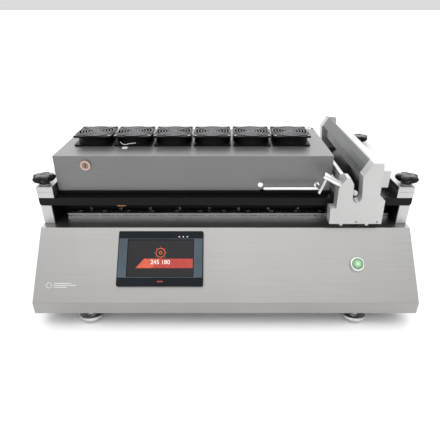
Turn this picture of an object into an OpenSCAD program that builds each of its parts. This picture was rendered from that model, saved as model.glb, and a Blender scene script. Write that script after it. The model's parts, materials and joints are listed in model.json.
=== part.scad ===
// Bench-top reflow station: a hot plate under a fan-cooled hinged hood, on a sloped steel console,
// with a clamp carriage that slides along two rails. X runs along the machine, -Y is the operator's side.

/* [Console] */
// Width of the console
base_w = 884; // [860:1:900]
// Depth of the console
base_d = 560; // [560:1:580]
// Height of the front lip's lower edge above the bench
lip_low = 36; // [34:1:38]
// Height of the front lip's upper edge
lip_high = 66; // [62:1:70]
// Height of the flat deck
deck_z = 196.5; // [194:0.5:199]
// How far back the sloped panel reaches
slope_run = 120; // [115:1:125]
// Thickness of the folded sheet
sheet = 2; // [1.5:0.5:2.5]

/* [Table] */
// Width of the black table plate
table_w = 886; // [880:1:888]
// Depth of the table plate
table_d = 385; // [380:1:390]
// Thickness of the table plate
table_t = 20; // [18:1:22]
// Height of the side rails between the deck and the table plate
rail_gap = 48; // [47:1:49]
// Width of the heated area
plate_w = 600; // [560:10:610]
// Depth of the heated area
plate_d = 200; // [190:5:204]

/* [Hood] */
// Left end of the hood
hood_left = -400; // [-400:1:-399]
// Right end of the hood
hood_right = 250; // [240:1:252]
// Depth of the hood
hood_d = 230; // [226:1:230]
// Height of the hood's top above the bench
hood_top = 360; // [350:1:362]
// Size of a cooling fan
fan_size = 92; // [90:1:92]
// Distance between fan centres
fan_pitch = 97.8; // [96:0.2:98]

/* [Carriage] */
// Thickness of the carriage's end plates
cheek_t = 28; // [24:1:28]
// Width of the beam on the carriage's right side
beam_w = 26; // [22:1:26]

/* [Controls] */
// Diameter of a star knob
knob_d = 55; // [48:1:55]
// Diameter of the green push button's lens
lens_d = 26; // [24:1:27]
// Diameter of a levelling foot
foot_d = 60; // [50:1:60]

/* [Hidden] */

eps = 0.01;
front = -base_d / 2;
back = base_d / 2;
slope_y = front + slope_run;
slope_rise = deck_z - lip_high;
slope_angle = atan2(slope_rise, slope_run);
fold_low = cos(slope_angle) - (1 - sin(slope_angle)) * tan(slope_angle);
fold_high = sin(slope_angle) - (1 - cos(slope_angle)) / tan(slope_angle);
recess = 8;

// The operator panel and the button lie on the slope, measured down it from the deck's fold.
panel_x = -152;
panel_w = 200;
panel_h = 130;
panel_down = 75;
panel_proud = 8;
cut_w = 184;
cut_h = 114;
screen_w = 154;
screen_h = 86;
button_x = 307.5;
button_down = 88;
button_hole = 22;
ring_d = 36;

foot_xs = [-321, 308];
foot_y = base_d / 2 - 31;
foot_stud = 10;

table_z = deck_z + rail_gap;
table_top = table_z + table_t;
table_front = front + 142;
table_back = table_front + table_d;
table_mid = (table_front + table_back) / 2;
post_w = 25;
post_x = 416;
liner_t = 1.5;
bar_w = 38;
bar_t = 13.7;
bar_x = 405;
bar_d = 375;
knob_x = 428.5;
knob_front_y = front + 162;
knob_rear_y = front + 488;
knob_rear_right_x = 414;
knob_spots = [[-knob_x, knob_front_y], [knob_x, knob_front_y],
  [-knob_x, knob_rear_y], [knob_rear_right_x, knob_rear_y]];
knob_h = 17;
hub_rise = 7;
knob_z = table_top + 2 * bar_t + hub_rise;
stud_d = 10;

hood_front = front + 165;
hood_back = hood_front + hood_d;
hood_x = (hood_left + hood_right) / 2;
hood_sheet = 2;
seal_h = 10;
hood_low = table_top + seal_h;
hinge_y = hood_back + 9;
hinge_z = table_top + 6;
hinge_r = 5;
pin_r = 2;
pin_gap = 0.05;
leaf_len = 30;
hinge_xs = [-330, -76, 180];
heater_x = hood_x;
heater_y = hood_front + hood_d / 2;
window_w = plate_w + 6;
window_d = plate_d + 6;

fan_d = 25;
fan_mid_x = -81;
fan_mid_y = front + 284;
fan_bore = 86;
guard_wire = 1.8;
guard_z = hood_top + fan_d + guard_wire / 2;

handle_x1 = 83;
handle_x2 = 217;
handle_z = 289.5;
handle_rod = 7;
handle_reach = 45;
lock_x = -326;
lock_z = 338;

rail_y = front + 182;
rear_rail_y = front + 500;
rail_w = 20;
rail_h = 12.5;
rail_x1 = -393;
rail_x2 = 408;

cheek_front = front + 112;
cheek_rear = front + 529;
beam_x = 352;
clamp_angle = 30;
clamp_z = 308;
clamp_x = 255.3 + (clamp_z - 300) * tan(clamp_angle);
clamp_y = cheek_front + 6;
hub_d = 15;
hub_near = 6.5;
hub_far = 48;
lever_d = 6;
lever_at = 38;
lever_len = 42;
lever_turn = 25;
bolt_d = 8;
nut_t = 6;
seat_angle = atan2(361 - 334.6, 324 - 309.3);

// A box from its low corner to its high corner.
module span(low, high) {
  translate(low) cube(high - low);
}

// A cylinder along Y, starting at y and going back.
module rod_y(x, y, z, d, len, sides = 48) {
  translate([x, y, z]) rotate([-90, 0, 0]) cylinder(d = d, h = len, $fn = sides);
}

// A cylinder along X, starting at x and going right.
module rod_x(x, y, z, d, len, sides = 48) {
  translate([x, y, z]) rotate([0, 90, 0]) cylinder(d = d, h = len, $fn = sides);
}

// Children are drawn in the slope's own frame: X across, Y up the slope, Z out of it, origin at the fold.
module on_slope(x, down) {
  translate([x, slope_y, deck_z]) rotate([slope_angle, 0, 0]) translate([0, -down, 0]) children();
}

// A flat rectangle with rounded corners.
module rounded(w, d, r) {
  square([w - 2 * r, d], center = true);
  square([w, d - 2 * r], center = true);
  for (sx = [-1, 1], sy = [-1, 1])
    translate([sx * (w / 2 - r), sy * (d / 2 - r)]) circle(r = r, $fn = 32);
}

// Places children at each of the six fans.
module at_fan(i) {
  translate([fan_mid_x + (i - 2.5) * fan_pitch, fan_mid_y, hood_top]) children();
}

// The console's side profile, shrunk by inset and left open below and behind.
module console_profile(inset) {
  polygon([[front + inset, lip_low - inset], [front + inset, lip_high - inset * fold_low],
    [slope_y + inset * fold_high, deck_z - inset], [back - recess + inset, deck_z - inset],
    [back - recess + inset, lip_low - inset]]);
}

module console_shell() {
  color("silver") difference() {
    union() {
      difference() {
        rotate([90, 0, 90]) translate([0, 0, -base_w / 2])
          linear_extrude(base_w) console_profile(0);
        rotate([90, 0, 90]) translate([0, 0, -base_w / 2 + sheet])
          linear_extrude(base_w - 2 * sheet) console_profile(sheet);
      }
      for (sx = [-1, 1]) translate([sx * (base_w - sheet) / 2, back - 6, (deck_z + lip_low) / 2])
        cube([sheet, 12, deck_z - lip_low], center = true);
      translate([0, back - 6, deck_z - sheet / 2]) cube([base_w, 12, sheet], center = true);
    }
    on_slope(panel_x, panel_down) cube([cut_w, cut_h, 12], center = true);
    on_slope(button_x, button_down) cylinder(d = button_hole, h = 12, center = true, $fn = 48);
  }
}

module bottom_plate() {
  inner_w = base_w - 2 * sheet - 0.6;
  color("gray") difference() {
    union() {
      span([-inner_w / 2, front + sheet + 0.3, lip_low], [inner_w / 2, back - 10.3, lip_low + sheet]);
      for (sx = [-1, 1]) translate([sx * (inner_w / 2 - 1), (front + back - 8) / 2, lip_low + 9])
        cube([2, base_d - 20, 18], center = true);
    }
    for (x = foot_xs, sy = [-1, 1]) translate([x, sy * foot_y, lip_low])
      cylinder(d = foot_stud, h = 20, center = true, $fn = 32);
    for (i = [-5 : 5]) translate([i * 40, 40, lip_low]) cube([24, 5, 20], center = true);
    for (i = [-5 : 5]) translate([i * 40, 60, lip_low]) cube([24, 5, 20], center = true);
  }
}

module rear_panel() {
  half = base_w / 2 - sheet - 0.3;
  color("silver") difference() {
    span([-half, back - 10, lip_low], [half, back - 8, deck_z - sheet - 0.3]);
    translate([360, back - 9, 80]) cube([48, 6, 28], center = true);
    translate([300, back - 9, 80]) cube([28, 6, 20], center = true);
    for (i = [-6 : 6]) translate([i * 16 - 60, back - 9, 130]) cube([6, 6, 60], center = true);
  }
}

// One levelling foot: a turned dish with a stud into the console's floor.
module levelling_feet() {
  r = foot_d / 2;
  color("gainsboro") for (x = foot_xs, sy = [-1, 1]) translate([x, sy * foot_y, 0]) {
    rotate_extrude($fn = 64) {
      polygon([[0, 0], [r - 14, 0], [r - 8, 2], [r - 3, 6], [r, 11], [r, 15], [r - 1.5, 17], [12, 19],
        [11, 27], [0, 27]]);
    }
    translate([0, 0, 27]) cylinder(d = 24, h = lip_low - 27, $fn = 6);
    translate([0, 0, lip_low - eps]) cylinder(d = foot_stud, h = 12, $fn = 32);
  }
}

module operator_bezel() {
  color("dimgray") on_slope(panel_x, panel_down) difference() {
    linear_extrude(panel_proud) rounded(panel_w, panel_h, 4);
    translate([0, 0, panel_proud - 3]) linear_extrude(5) square([screen_w + 1, screen_h + 1], center = true);
    translate([0, 0, -1]) linear_extrude(5 + eps) square([screen_w - 12, screen_h - 12], center = true);
  }
}

module operator_screen() {
  color([0.1, 0.1, 0.12]) on_slope(panel_x, panel_down) translate([0, 0, panel_proud - 3])
    linear_extrude(2) square([screen_w, screen_h], center = true);
}

module operator_housing() {
  color("dimgray") on_slope(panel_x, panel_down) translate([0, 0, -42]) difference() {
    linear_extrude(42) square([cut_w - 1, cut_h - 1], center = true);
    translate([0, 0, 2]) linear_extrude(42) square([cut_w - 6, cut_h - 6], center = true);
  }
}

module button_ring() {
  r = ring_d / 2;
  hole_r = lens_d / 2 + 0.05;
  color("gainsboro") on_slope(button_x, button_down) difference() {
    union() {
      rotate_extrude($fn = 64) polygon([[0, 0], [r, 0], [r, 2], [r - 1.5, 5], [r - 3, 6], [0, 6]]);
      translate([0, 0, -19]) cylinder(d = button_hole - 0.4, h = 19 + eps, $fn = 48);
    }
    translate([0, 0, 1]) cylinder(r = hole_r, h = 6, $fn = 64);
    translate([0, 0, -20]) cylinder(d = 16.1, h = 25, $fn = 48);
  }
}

module button_lens() {
  color("limegreen") on_slope(button_x, button_down) {
    translate([0, 0, 4.2]) cylinder(d = lens_d, h = 3.4, $fn = 64);
    translate([0, 0, -14]) cylinder(d = 16, h = 18.2 + eps, $fn = 48);
  }
}

module button_contacts() {
  color("royalblue") on_slope(button_x, button_down) translate([0, 0, -33]) {
    translate([0, 0, 7]) cube([28, 28, 14], center = true);
    for (sx = [-1, 1]) translate([sx * 8, 0, -3]) cube([5, 16, 6 + eps], center = true);
  }
}

module power_inlet() {
  x = 360;
  z = 80;
  color("black") difference() {
    union() {
      span([x - 27, back - 8, z - 16], [x + 27, back - 5, z + 16]);
      span([x - 23.5, back - 36, z - 13.5], [x + 23.5, back - 8 + eps, z + 13.5]);
    }
    span([x - 13, back - 24, z - 9], [x + 13, back, z + 9]);
  }
  color("silver") for (p = [[-7, -2], [0, 3], [7, -2]])
    span([x + p[0] - 1, back - 24.5, z + p[1] - 2], [x + p[0] + 1, back - 9, z + p[1] + 2]);
}

module rocker_frame() {
  x = 300;
  z = 80;
  color("black") difference() {
    union() {
      span([x - 16, back - 8, z - 12], [x + 16, back - 6, z + 12]);
      span([x - 13.5, back - 30, z - 9.5], [x + 13.5, back - 8 + eps, z + 9.5]);
    }
    span([x - 12, back - 26, z - 8], [x + 12, back, z + 8]);
  }
  color("black") translate([x, back - 16, z]) cylinder(r = 1.5, h = 18, center = true, $fn = 32);
}

// A rocker that tips ten degrees either way about an upright pin, shown switched off.
module rocker_switch() {
  color("firebrick") translate([300, back - 16, 80]) rotate([0, 0, -10]) difference() {
    union() {
      cylinder(r = 6, h = 14, center = true, $fn = 48);
      linear_extrude(14, center = true)
        polygon([[-9.5, 3], [9.5, 3], [9.5, 8], [0, 9.5], [-9.5, 8]]);
    }
    cylinder(r = 1.55, h = 20, center = true, $fn = 32);
  }
}

module power_supply() {
  color("silver") difference() {
    span([-400, 60, lip_low + sheet], [-240, 170, lip_low + sheet + 50]);
    span([-398, 62, lip_low + sheet + 2], [-239, 168, lip_low + sheet + 48]);
    for (i = [0 : 9]) translate([-380 + i * 14, 115, lip_low + sheet + 50]) cube([6, 60, 10], center = true);
  }
}

module controller_board() {
  z = lip_low + sheet;
  color("seagreen") {
    for (x = [-190, -50], y = [70, 150]) translate([x, y, z]) cylinder(d = 6, h = 12, $fn = 32);
    span([-200, 60, z + 12 - eps], [-40, 160, z + 14]);
    span([-180, 80, z + 14 - eps], [-140, 120, z + 24]);
    span([-120, 80, z + 14 - eps], [-90, 110, z + 17]);
    span([-70, 70, z + 14 - eps], [-50, 150, z + 26]);
  }
}

module solid_state_relays() {
  z = lip_low + sheet;
  color("gainsboro") for (i = [0 : 2]) translate([20 + i * 60, 90, z]) {
    for (k = [0 : 5]) translate([k * 8, 0, 0]) cube([2, 60, 22]);
    translate([0, 0, 20]) cube([42, 60, 5]);
    translate([0, 5, 25 - eps]) cube([42, 50, 20]);
  }
}

module terminal_strip() {
  z = lip_low + sheet;
  color("beige") difference() {
    span([210, 60, z], [230, 170, z + 30]);
    for (i = [0 : 8]) translate([220, 68 + i * 12, z + 28]) cube([26, 6, 12], center = true);
  }
}

// A side rail: a white bar between the deck and the table plate.
module side_rail(sx) {
  color("white") span([sx > 0 ? post_x : -post_x - post_w, table_front, deck_z],
    [sx > 0 ? post_x + post_w : -post_x, table_back - 10, table_z]);
}

// A black sheet on the inner face of each side rail.
module side_liners() {
  color([0.1, 0.1, 0.1]) for (sx = [-1, 1])
    translate([sx * (post_x - liner_t / 2), table_mid - 5, deck_z + rail_gap / 2])
      cube([liner_t, table_d - 16, rail_gap], center = true);
}

module scale_strip() {
  x1 = -post_x + liner_t + 0.3;
  x2 = post_x - liner_t - 0.3;
  color([0.12, 0.12, 0.13]) difference() {
    span([x1, rail_y + 14, deck_z], [x2, rail_y + 18, table_z - 6]);
    for (i = [-5 : 5]) translate([i * 75 + 35, rail_y + 16, table_z - 14]) cube([2, 10, 6], center = true);
  }
}

// A copper probe lying under the table's front edge, with a stem up into it.
module sensor_tip() {
  tip_z = table_z - 4.5;
  tip_y = table_front + 13;
  color("chocolate") {
    rod_x(-260, tip_y, tip_z, 7.5, 18);
    translate([-242 - eps, tip_y, tip_z]) rotate([0, 90, 0]) cylinder(d1 = 7.5, d2 = 3, h = 4, $fn = 48);
    translate([-264, tip_y, tip_z]) rotate([0, 90, 0]) cylinder(d1 = 3, d2 = 7.5, h = 4 + eps, $fn = 48);
    translate([-251, tip_y, tip_z]) cylinder(d = 3, h = table_z - tip_z, $fn = 32);
  }
}

// A linear rail: a profiled bar with counterbored screw holes along it.
module linear_rail(y) {
  w = rail_w / 2;
  color("gainsboro") difference() {
    translate([rail_x1, y, deck_z]) rotate([90, 0, 90]) linear_extrude(rail_x2 - rail_x1)
      polygon([[-w, 0], [w, 0], [w, 4], [w - 2.5, 6], [w - 2.5, 8], [w, 9.5], [w, rail_h], [-w, rail_h],
        [-w, 9.5], [-w + 2.5, 8], [-w + 2.5, 6], [-w, 4]]);
    for (x = [rail_x1 + 30 : 60 : rail_x2 - 20])
      translate([x, y, deck_z + rail_h - 5]) cylinder(d = 9.5, h = 6, $fn = 32);
  }
}

module table_plate() {
  r = 6;
  color([0.14, 0.14, 0.15]) difference() {
    union() {
      span([-table_w / 2, table_front, table_z + r], [table_w / 2, table_back, table_top]);
      span([-table_w / 2 + r, table_front, table_z], [table_w / 2 - r, table_back, table_z + r + eps]);
      for (sx = [-1, 1]) rod_y(sx * (table_w / 2 - r), table_front, table_z + r, 2 * r, table_d);
    }
    translate([heater_x, heater_y, table_z + table_t / 2])
      cube([window_w, window_d, table_t + 2], center = true);
  }
}

module heater_plate() {
  color([0.16, 0.17, 0.19]) difference() {
    translate([heater_x, heater_y, table_top - 5]) linear_extrude(6) rounded(plate_w, plate_d, 6);
    for (i = [-5 : 5]) translate([heater_x + i * 54, heater_y, table_top - 5])
      cube([2, plate_d - 30, 2], center = true);
  }
}

module heater_rods() {
  color("silver") for (i = [0 : 5]) rod_x(heater_x - plate_w / 2 + 10, heater_y - 75 + i * 30,
    table_top - 8.5, 6.5, plate_w - 20);
}

module insulation_tray() {
  w = plate_w + 4;
  d = plate_d + 4;
  z = table_z - 2;
  color("gray") difference() {
    union() {
      translate([heater_x, heater_y, z]) linear_extrude(table_top - 5 - z) square([w, d], center = true);
      translate([heater_x, heater_y, z - 2]) linear_extrude(2 + eps) square([w + 20, d + 14], center = true);
    }
    translate([heater_x, heater_y, table_top - 12]) linear_extrude(20) square([w - 6, d - 6], center = true);
  }
}

// Two aluminium bars, one on the other, that the star knobs clamp down at the table's end.
module end_bar(sx) {
  x1 = sx > 0 ? bar_x : -bar_x - bar_w;
  color("white") difference() {
    union() {
      span([x1, table_front, table_top], [x1 + bar_w, table_front + bar_d, table_top + bar_t]);
      span([x1, table_front, table_top + bar_t + 0.4],
        [x1 + bar_w, table_front + bar_d - 4, table_top + 2 * bar_t]);
      span([x1 + 3, table_front + 3, table_top + bar_t - 1],
        [x1 + bar_w - 3, table_front + bar_d - 8, table_top + bar_t + 1]);
    }
    for (spot = knob_spots) translate([spot[0], spot[1], table_top - 1])
      cylinder(d = stud_d + 0.4, h = 2 * bar_t + 2, $fn = 32);
  }
}

module knob_studs() {
  color("silver") for (spot = knob_spots) translate([spot[0], spot[1], table_top]) {
    cylinder(d = stud_d, h = 2 * bar_t + 12, $fn = 32);
    translate([0, 0, 2 * bar_t]) difference() {
      cylinder(d = 24, h = 2.5, $fn = 48);
      cylinder(d = stud_d - 1, h = 6, $fn = 48, center = true);
    }
  }
}

// A five-lobed star knob with a round hub below, bored blind for its stud.
module star_knob(spot) {
  lobe = 17;
  reach = knob_d / 2 - lobe / 2;
  hub_low = table_top + 2 * bar_t + 2.8;
  color([0.1, 0.1, 0.11]) translate([spot[0], spot[1], 0]) difference() {
    union() {
      translate([0, 0, hub_low]) cylinder(d = 26, h = knob_z - hub_low + 1, $fn = 48);
      translate([0, 0, knob_z]) cylinder(d = knob_d - 11, h = knob_h, $fn = 64);
      for (i = [0 : 4]) rotate([0, 0, i * 72 + 18]) translate([reach, 0, knob_z]) {
        cylinder(d = lobe, h = knob_h - 2, $fn = 32);
        translate([0, 0, knob_h - 2 - eps]) cylinder(d1 = lobe, d2 = lobe - 3, h = 2, $fn = 32);
      }
    }
    translate([0, 0, hub_low - 1])
      cylinder(d = stud_d + 0.1, h = 2 * bar_t + 14 + table_top - hub_low, $fn = 32);
    for (i = [0 : 4]) rotate([0, 0, i * 72 + 54]) translate([knob_d / 2 - 1, 0, knob_z - 1])
      cylinder(d = 11, h = knob_h + 2, $fn = 32);
  }
}

// Knuckles of a hinge: even ones belong to the hood, odd ones to the table.
module knuckles(x, which) {
  n = 5;
  step = leaf_len / n;
  for (i = [0 : n - 1]) if (i % 2 == which)
    rod_x(x - leaf_len / 2 + i * step + 0.2, hinge_y, hinge_z, 2 * hinge_r, step - 0.4, 32);
}

module hinge_leaves_table() {
  color("silver") for (x = hinge_xs) {
    difference() {
      union() {
        knuckles(x, 1);
        for (i = [1, 3]) span([x - leaf_len / 2 + i * 6 + 0.2, hinge_y - 3, table_top],
          [x - leaf_len / 2 + i * 6 + 5.8, hinge_y + 24, table_top + 2.5]);
        span([x - leaf_len / 2, hinge_y + 8, table_top], [x + leaf_len / 2, hinge_y + 28, table_top + 2]);
      }
      rod_x(x - leaf_len, hinge_y, hinge_z, 2 * pin_r, 2 * leaf_len, 32);
    }
    rod_x(x - leaf_len / 2 - 2, hinge_y, hinge_z, 2 * pin_r, leaf_len + 4, 32);
  }
}

module hinge_leaves_hood() {
  color("silver") for (x = hinge_xs) difference() {
    union() {
      knuckles(x, 0);
      for (i = [0, 2, 4]) span([x - leaf_len / 2 + i * 6 + 0.2, hood_back, hinge_z + 1],
        [x - leaf_len / 2 + i * 6 + 5.8, hinge_y + 1, hinge_z + hinge_r - 0.5]);
      span([x - leaf_len / 2, hood_back, hinge_z + 4], [x + leaf_len / 2, hood_back + 2, hinge_z + 34]);
    }
    rod_x(x - leaf_len, hinge_y, hinge_z, 2 * (pin_r + pin_gap), 2 * leaf_len, 32);
  }
}

module hood_shell() {
  s = hood_sheet;
  color([0.6, 0.6, 0.6]) difference() {
    span([hood_left, hood_front, hood_low], [hood_right, hood_back, hood_top]);
    span([hood_left + s, hood_front + s, hood_low - 1], [hood_right - s, hood_back - s, hood_top - s]);
    for (i = [0 : 5]) at_fan(i) cylinder(d = fan_bore, h = 4 * s, center = true, $fn = 64);
    rod_y(lock_x, hood_front - 1, lock_z, 19, 6);
    for (x = [handle_x1, handle_x2]) rod_y(x, hood_front - 1, handle_z, 5, 6, 32);
  }
}

module hood_seal() {
  low = table_top + 0.3;
  color([0.1, 0.1, 0.1]) difference() {
    span([hood_left + 1, hood_front + 1, low], [hood_right - 1, hood_back - 1, hood_low]);
    span([hood_left + 13, hood_front + 13, low - 1], [hood_right - 13, hood_back - 13, hood_low + 1]);
  }
}

// The U handle: two legs, a bar and two quarter bends, with screws into the hood.
module hood_handle() {
  bend = 10;
  bar_y = hood_front - handle_reach;
  color("gainsboro") {
    for (x = [handle_x1, handle_x2]) {
      rod_y(x, bar_y + bend, handle_z, handle_rod, handle_reach - bend);
      rod_y(x, hood_front - 1, handle_z, 4.8, 8, 32);
      rod_y(x, hood_front + hood_sheet, handle_z, 12, 3, 32);
      rod_y(x, hood_front - 2, handle_z, 13, 2, 48);
    }
    rod_x(handle_x1 + bend, bar_y, handle_z, handle_rod, handle_x2 - handle_x1 - 2 * bend);
    translate([handle_x1 + bend, bar_y + bend, handle_z]) rotate([0, 0, 180])
      rotate_extrude(angle = 90, $fn = 64) translate([bend, 0]) circle(d = handle_rod, $fn = 48);
    translate([handle_x2 - bend, bar_y + bend, handle_z]) rotate([0, 0, 270])
      rotate_extrude(angle = 90, $fn = 64) translate([bend, 0]) circle(d = handle_rod, $fn = 48);
  }
}

module hood_lock() {
  color("gainsboro") difference() {
    union() {
      rod_y(lock_x, hood_front - 4, lock_z, 25, 4);
      rod_y(lock_x, hood_front - 1, lock_z, 18.6, 16);
      rod_y(lock_x, hood_front + hood_sheet, lock_z, 26, 4);
    }
    rod_y(lock_x, hood_front - 5, lock_z, 14.1, 30);
  }
}

module lock_cylinder() {
  color("silver") difference() {
    union() {
      rod_y(lock_x, hood_front - 3.4, lock_z, 14, 22);
      span([lock_x - 6, hood_front + 15.4, lock_z - 6], [lock_x + 26, hood_front + 18.4, lock_z + 6]);
    }
    span([lock_x - 1, hood_front - 4, lock_z - 4.5], [lock_x + 1, hood_front + 6, lock_z + 4.5]);
  }
}

module fan_frames() {
  h = fan_size / 2;
  color([0.12, 0.12, 0.13]) for (i = [0 : 5]) at_fan(i) difference() {
    union() {
      linear_extrude(4) rounded(fan_size, fan_size, 4);
      cylinder(d = fan_size - 1, h = fan_d, $fn = 96);
      translate([0, 0, fan_d - 4]) linear_extrude(4) rounded(fan_size, fan_size, 4);
    }
    difference() {
      translate([0, 0, -1]) cylinder(d = fan_bore, h = fan_d + 2, $fn = 96);
      translate([0, 0, 0]) cylinder(d = 38, h = 4, $fn = 48);
      for (a = [45 : 90 : 315]) rotate([0, 0, a]) translate([17, -2.5, 0]) cube([30, 5, 4]);
    }
    for (sx = [-1, 1], sy = [-1, 1]) translate([sx * (h - 5), sy * (h - 5), -1])
      cylinder(d = 4.4, h = fan_d + 2, $fn = 32);
  }
}

// Seven blades round a hub, turning above the frame's spider.
module fan_rotor(i) {
  color([0.16, 0.16, 0.17]) at_fan(i) {
    translate([0, 0, 5]) cylinder(d = 36, h = 18, $fn = 48);
    for (a = [0 : 6]) rotate([0, 0, a * 360 / 7]) translate([16, 0, 14]) rotate([35, 0, 0])
      translate([0, -10, -0.8]) cube([24, 20, 1.6]);
  }
}

// A wire guard over each fan: rings, two crossed stays and four corner eyes.
module fan_guards() {
  eye = fan_size / 2 - 5;
  color("black") for (i = [0 : 5]) at_fan(i) translate([0, 0, fan_d + guard_wire]) {
    for (r = [8 : 7 : 43]) rotate_extrude($fn = 72)
      translate([r, -guard_wire]) square([guard_wire, guard_wire]);
    for (a = [45, 135]) rotate([0, 0, a]) translate([-eye * sqrt(2), -guard_wire / 2, -guard_wire])
      cube([2 * eye * sqrt(2), guard_wire, guard_wire]);
    for (sx = [-1, 1], sy = [-1, 1]) translate([sx * eye, sy * eye, -guard_wire])
      cylinder(d = 7, h = 2.7, $fn = 32);
  }
}

// The outline of a carriage cheek, as [x, z] points, with its notch.
module cheek_outline() {
  difference() {
    polygon([[242.4, 251.5], [244.7, 211], [367.4, 211], [365.6, 271], [357.8, 278.5], [351, 285],
      [349.8, 342], [346.4, 360.5], [324, 361], [309.3, 334.6], [306, 330], [311, 281], [311, 275],
      [290.4, 275], [288, 312], [278.5, 327], [255.3 + 27 * tan(clamp_angle), 327], [255.3, 300],
      [256, 251.5]]);
    translate([300.7, 275.4]) circle(r = 9.6, $fn = 48);
  }
}

module cheek(y) {
  rotate([90, 0, 0]) translate([0, 0, -y - cheek_t]) linear_extrude(cheek_t) cheek_outline();
}

// Children are drawn along the clamp screw's axis: +Z points up and to the left, away from the cheek.
module on_clamp() {
  translate([clamp_x, clamp_y, clamp_z]) rotate([0, clamp_angle - 90, 0]) children();
}

module carriage_front_plate() {
  color("white") difference() {
    cheek(cheek_front);
    for (x = [307.6, 356.5]) rod_y(x, cheek_front - 1, 216, 4.2, 12, 32);
    on_clamp() translate([0, 0, -60]) cylinder(d = bolt_d + 0.1, h = 62, $fn = 48);
  }
}

module carriage_rear_plate() {
  color("white") cheek(cheek_rear);
}

// The sloped plate that joins both cheeks, lying on the slant of their right-hand horns.
module cross_plate() {
  color([0.75, 0.78, 0.76]) translate([309.3, 0, 334.6]) rotate([0, -seat_angle, 0])
    span([-1, cheek_front + cheek_t, -9], [30, cheek_rear, -0.3]);
}

module carriage_beam() {
  y1 = cheek_front + cheek_t;
  color("white") difference() {
    union() {
      span([beam_x, y1, 292], [beam_x + beam_w, cheek_rear, 333]);
      span([322, y1, 300], [beam_x + eps, cheek_rear, 326]);
    }
    span([beam_x + 5, y1 + 6, 297], [beam_x + beam_w - 5, cheek_rear + 1, 328]);
  }
}

module carriage_rib() {
  y1 = cheek_front + cheek_t;
  color("white") difference() {
    span([262, y1, 276], [271, cheek_rear, 326]);
    span([261, y1 + 40, 290], [272, cheek_rear - 40, 312]);
  }
}

// A rail block astride its rail, with the arm that carries the cheek beside it.
module rail_block(y, cheek_y) {
  reach = cheek_y > y ? [y - 13, cheek_y] : [cheek_y + cheek_t, y + 13];
  color("lightgray") difference() {
    union() {
      span([268, y - 13, deck_z + 4], [352, y + 13, table_z - 5]);
      span([262, reach[0], deck_z + 20], [358, reach[1], table_z - 5]);
    }
    span([260, y - rail_w / 2 - 0.4, deck_z], [360, y + rail_w / 2 + 0.4, deck_z + rail_h + 0.4]);
  }
}

module front_rail_block() {
  rail_block(rail_y, cheek_front);
}

module rear_rail_block() {
  rail_block(rear_rail_y, cheek_rear);
}

module carriage_screws() {
  color("silver") for (x = [274, 335], y = [cheek_front + 8, cheek_rear + cheek_t - 8])
    translate([x, y, 211]) rotate([180, 0, 0]) difference() {
      cylinder(d = 11, h = 6, $fn = 48);
      translate([0, 0, 3]) cylinder(d = 5.8, h = 4, $fn = 6);
    }
}

module clamp_nut() {
  color("silver") on_clamp() difference() {
    cylinder(d = 15, h = nut_t, $fn = 6);
    translate([0, 0, -1]) cylinder(d = bolt_d + 0.1, h = nut_t + 2, $fn = 48);
  }
}

// The clamp screw: a screw through the cheek, a turned hub, a tommy bar and a coil at its tip.
module clamp_lever() {
  color("gainsboro") on_clamp() rotate([0, 0, lever_turn]) {
    translate([0, 0, hub_near]) cylinder(d = hub_d, h = hub_far - hub_near - 1, $fn = 64);
    translate([0, 0, hub_far - 1 - eps]) cylinder(d1 = hub_d, d2 = hub_d - 2, h = 1, $fn = 64);
    translate([0, 0, -44]) cylinder(d = bolt_d, h = 44 + hub_near + 1, $fn = 48);
    translate([0, 0, -46]) cylinder(d = 5, h = 3, $fn = 32);
    translate([0, 0, lever_at]) rotate([0, -90, 0]) cylinder(d = lever_d, h = lever_len - 3, $fn = 48);
    translate([-lever_len + 3, 0, lever_at]) sphere(d = lever_d + 1, $fn = 48);
  }
}

module side_rail_left() {
  side_rail(-1);
}

module side_rail_right() {
  side_rail(1);
}

module front_rail() {
  linear_rail(rail_y);
}

module rear_rail() {
  linear_rail(rear_rail_y);
}

module end_bar_left() {
  end_bar(-1);
}

module end_bar_right() {
  end_bar(1);
}

module knob_front_left() {
  star_knob(knob_spots[0]);
}

module knob_front_right() {
  star_knob(knob_spots[1]);
}

module knob_rear_left() {
  star_knob(knob_spots[2]);
}

module knob_rear_right() {
  star_knob(knob_spots[3]);
}

module fan_rotor_1() {
  fan_rotor(0);
}

module fan_rotor_2() {
  fan_rotor(1);
}

module fan_rotor_3() {
  fan_rotor(2);
}

module fan_rotor_4() {
  fan_rotor(3);
}

module fan_rotor_5() {
  fan_rotor(4);
}

module fan_rotor_6() {
  fan_rotor(5);
}

console_shell();
bottom_plate();
rear_panel();
levelling_feet();
operator_bezel();
operator_screen();
operator_housing();
button_ring();
button_lens();
button_contacts();
power_inlet();
rocker_frame();
rocker_switch();
power_supply();
controller_board();
solid_state_relays();
terminal_strip();
side_rail_left();
side_rail_right();
side_liners();
scale_strip();
sensor_tip();
front_rail();
rear_rail();
table_plate();
heater_plate();
insulation_tray();
heater_rods();
end_bar_left();
end_bar_right();
knob_studs();
knob_front_left();
knob_front_right();
knob_rear_left();
knob_rear_right();
hinge_leaves_table();
hinge_leaves_hood();
hood_shell();
hood_seal();
hood_handle();
hood_lock();
lock_cylinder();
fan_frames();
fan_guards();
fan_rotor_1();
fan_rotor_2();
fan_rotor_3();
fan_rotor_4();
fan_rotor_5();
fan_rotor_6();
carriage_front_plate();
carriage_rear_plate();
cross_plate();
carriage_beam();
carriage_rib();
front_rail_block();
rear_rail_block();
carriage_screws();
clamp_nut();
clamp_lever();
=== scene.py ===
import json
import math
import bpy
from mathutils import Matrix, Vector


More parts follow.
